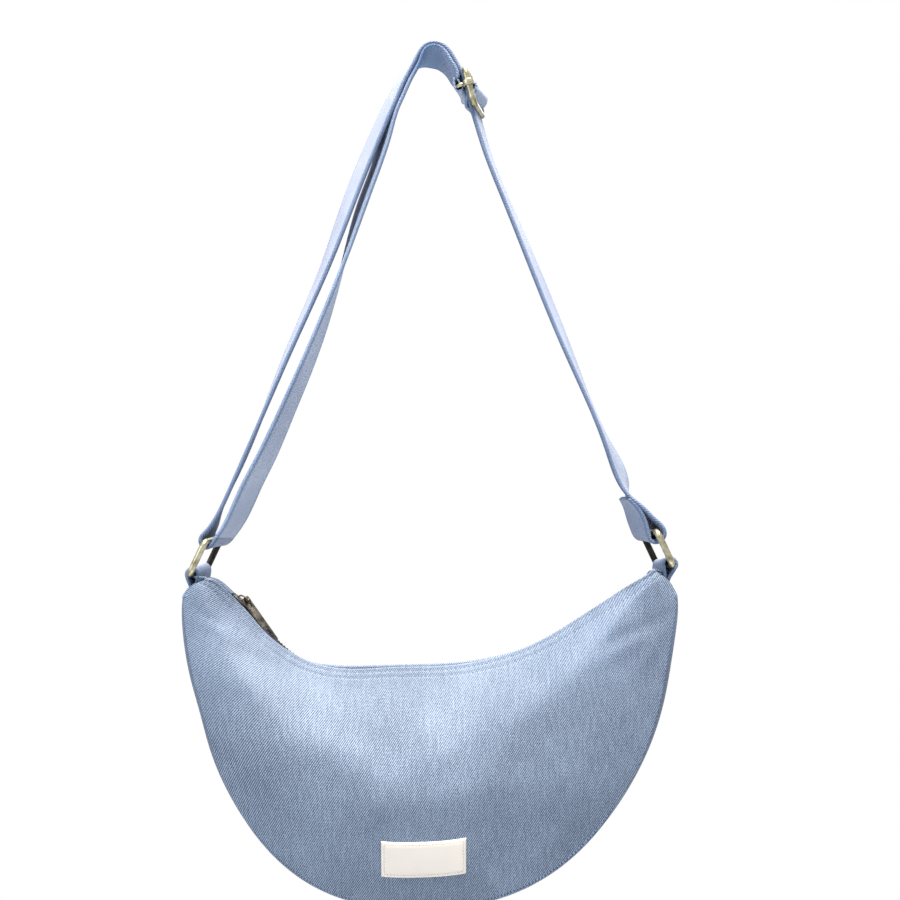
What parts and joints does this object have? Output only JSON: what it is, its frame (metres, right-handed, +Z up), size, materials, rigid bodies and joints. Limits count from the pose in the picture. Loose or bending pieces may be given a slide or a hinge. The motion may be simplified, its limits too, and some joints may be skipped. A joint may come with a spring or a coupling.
{
  "type": "crossbody bag",
  "caption": "Crescent-shaped denim crossbody bag with a curved top zip, wire rings at its ends and an adjustable denim strap with a sliding buckle.",
  "frame": {"origin": "underside of the strap's inner ply, at the top of the arch where it hangs, in the middle of the strap's width", "axes": "+Z up, +X to the viewer's right along the bag, +Y from the front panel to the back panel"},
  "size_m": [0.3378, 0.0889, 0.5842],
  "materials": {
    "light_wash_denim": "matte cotton twill",
    "denim_webbing": "matte folded and stitched cotton twill",
    "navy_zip_tape": "matte woven",
    "cotton_lining": "matte plain weave",
    "cream_label": "matte woven",
    "antique_brass": "satin antique plating",
    "dark_antique_brass": "dark antique plating"
  },
  "bodies": {
    "strap": {"strap_outer_run": "denim_webbing", "strap_inner_run": "denim_webbing"},
    "left_ring": {"left_ring": "antique_brass"},
    "bag": {"front_panel": "light_wash_denim", "back_panel": "light_wash_denim", "bottom_gusset": "light_wash_denim", "lining_front": "cotton_lining", "lining_back": "cotton_lining", "lining_gusset": "cotton_lining", "zip_tape_front": "navy_zip_tape", "zip_tape_back": "navy_zip_tape", "zip_teeth_front": "dark_antique_brass", "zip_teeth_back": "dark_antique_brass", "zip_top_stop_front": "dark_antique_brass", "zip_top_stop_back": "dark_antique_brass", "zip_bottom_stop": "dark_antique_brass", "left_end_patch": "light_wash_denim", "right_end_patch": "light_wash_denim", "left_tab": "denim_webbing", "right_tab": "denim_webbing", "label": "cream_label"},
    "right_ring": {"right_ring": "antique_brass"},
    "zip_slider": {"zip_slider": "dark_antique_brass"},
    "zip_puller": {"zip_puller": "dark_antique_brass"},
    "buckle_bar": {"buckle_bar": "antique_brass", "strap_sewn_end": "denim_webbing"},
    "buckle_frame": {"buckle_frame": "antique_brass"}
  },
  "joints": [
    {"name": "left_ring_swing", "type": "hinge", "parent": "strap", "child": "left_ring", "pos_m": [-0.15217, 0, -0.32832], "axis": [0, 1, 0], "range_deg": [-12, 12]},
    {"name": "bag_swing", "type": "hinge", "parent": "left_ring", "child": "bag", "pos_m": [-0.16269, 0, -0.35056], "axis": [0, 1, 0], "range_deg": [-11, 11]},
    {"name": "right_ring_swing", "type": "hinge", "parent": "bag", "child": "right_ring", "pos_m": [0.16269, 0, -0.35056], "axis": [0, 1, 0], "range_deg": [-11, 11]},
    {"name": "zip_travel", "type": "hinge", "parent": "bag", "child": "zip_slider", "pos_m": [0, 0, -0.2218], "axis": [0, -1, 0], "range_deg": [0, 80.6]},
    {"name": "puller_lift", "type": "hinge", "parent": "zip_slider", "child": "zip_puller", "pos_m": [-0.12674, 0, -0.37124], "axis": [0, -1, 0], "range_deg": [0, 150]},
    {"name": "buckle_slide", "type": "slide", "parent": "strap", "child": "buckle_bar", "axis": [0.3869, 0, -0.9221], "range_m": [0, 0.24], "deforming": ["strap_inner_run"]},
    {"name": "frame_slide", "type": "slide", "parent": "buckle_bar", "child": "buckle_frame", "axis": [0.3869, 0, -0.9221], "range_m": [-0.0055, 0.0015]}
  ],
  "couplings": [
    {"joint": "left_ring_swing", "follows": "bag_swing", "ratio": -1.0691},
    {"joint": "right_ring_swing", "follows": "bag_swing", "ratio": -1}
  ]
}
